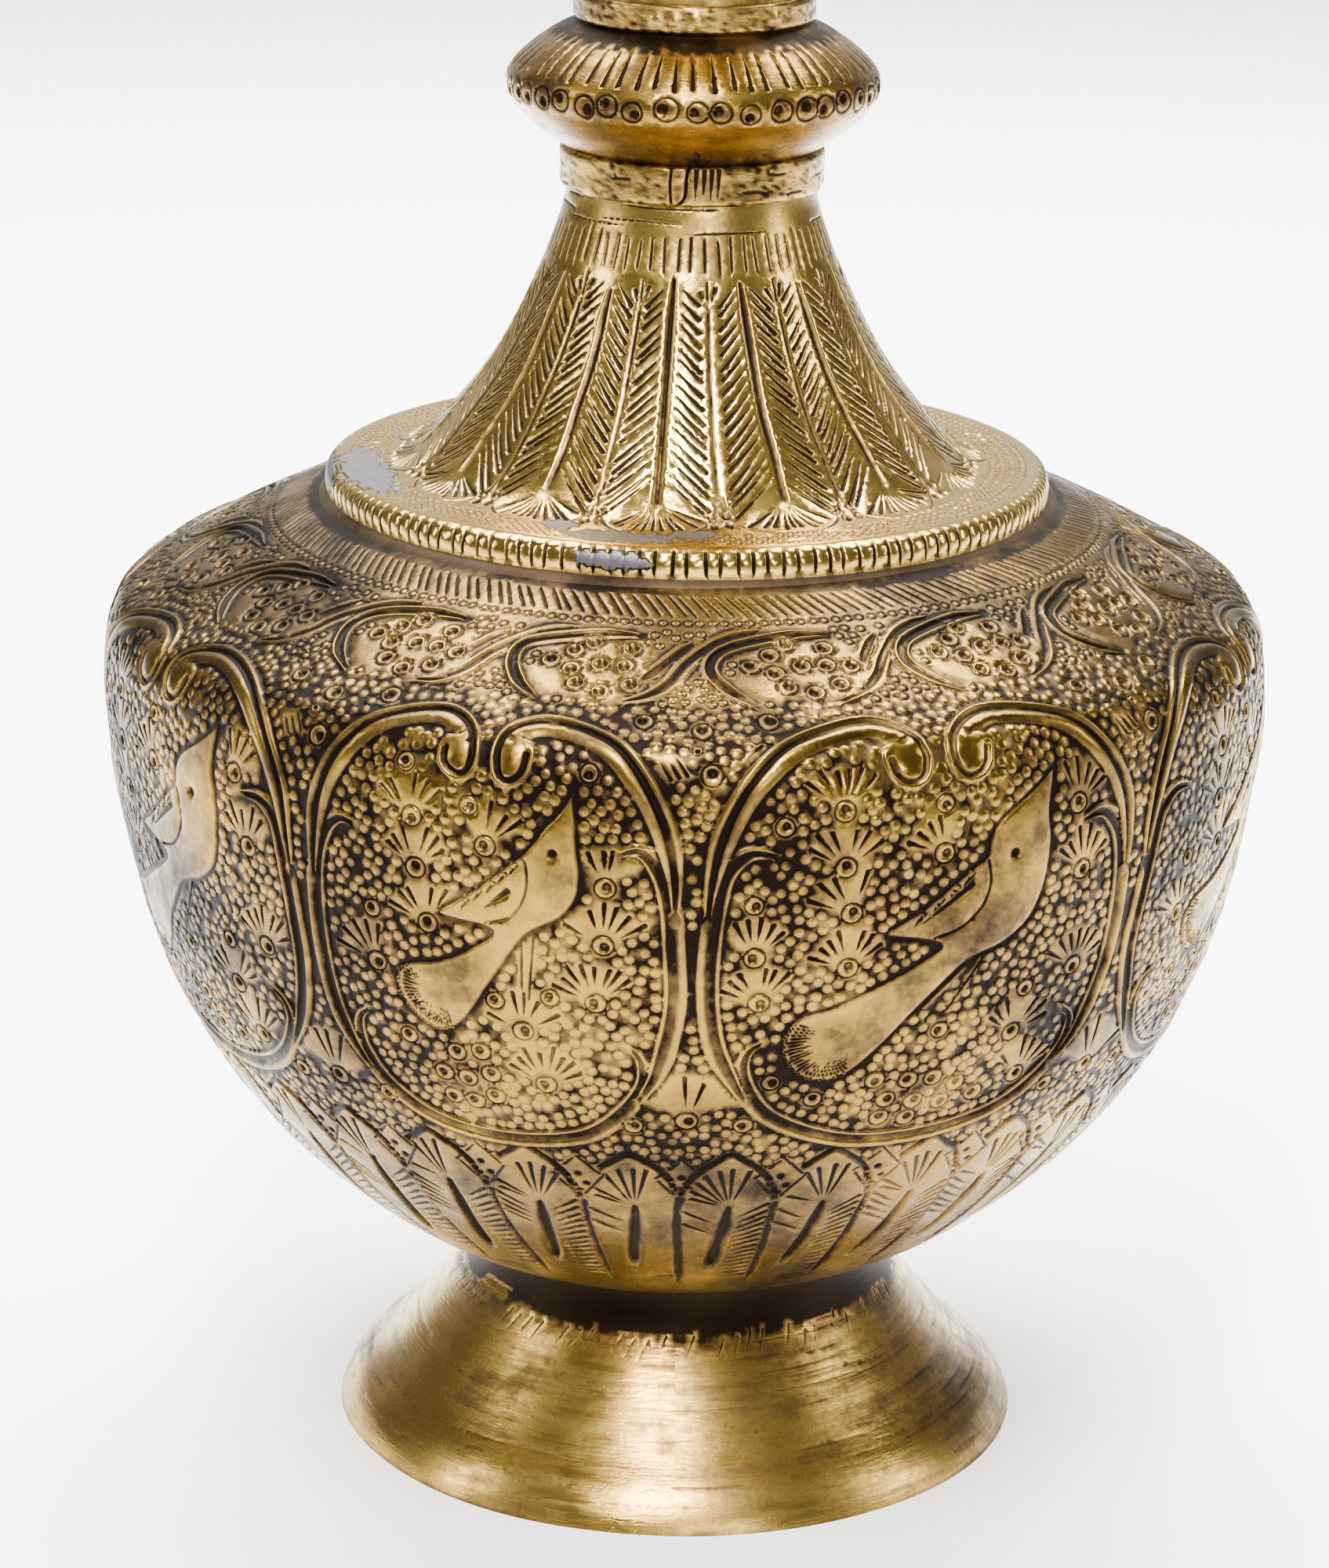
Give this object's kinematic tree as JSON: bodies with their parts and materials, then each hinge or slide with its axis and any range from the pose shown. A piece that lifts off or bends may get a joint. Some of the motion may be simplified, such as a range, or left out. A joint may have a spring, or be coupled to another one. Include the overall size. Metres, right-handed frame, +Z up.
{
  "type": "brass kalash pot",
  "caption": "Footed round-bellied brass water pot with a tall cone neck, banded knop and flared mouth, chased all over with birds in medallions, petals and feathers.",
  "frame": {"origin": "centre of the foot's resting edge, on the surface the pot stands on", "axes": "+Z up along the pot's axis; the joint between two medallions and the lapped seam of the lower band face -Y"},
  "size_m": [0.1778, 0.1778, 0.286],
  "materials": {
    "chased_brass": "hand chased and aged, dark patina in the recesses, rubbed bright on the raised parts",
    "brushed_brass": "turned and brushed, with patina streaks and blotches",
    "solder": "dull grey soft solder, wiped flat"
  },
  "bodies": {
    "root": {"foot": "brushed_brass", "foot_solder": "solder", "lower_bowl": "chased_brass", "shoulder_shell": "chased_brass", "flange_solder": "solder", "neck_cone": "chased_brass", "lower_band": "brushed_brass", "knop_lower": "chased_brass", "knop_upper": "chased_brass", "upper_band": "brushed_brass", "mouth_trumpet": "brushed_brass", "rim_wire": "brushed_brass"}
  },
  "joints": []
}
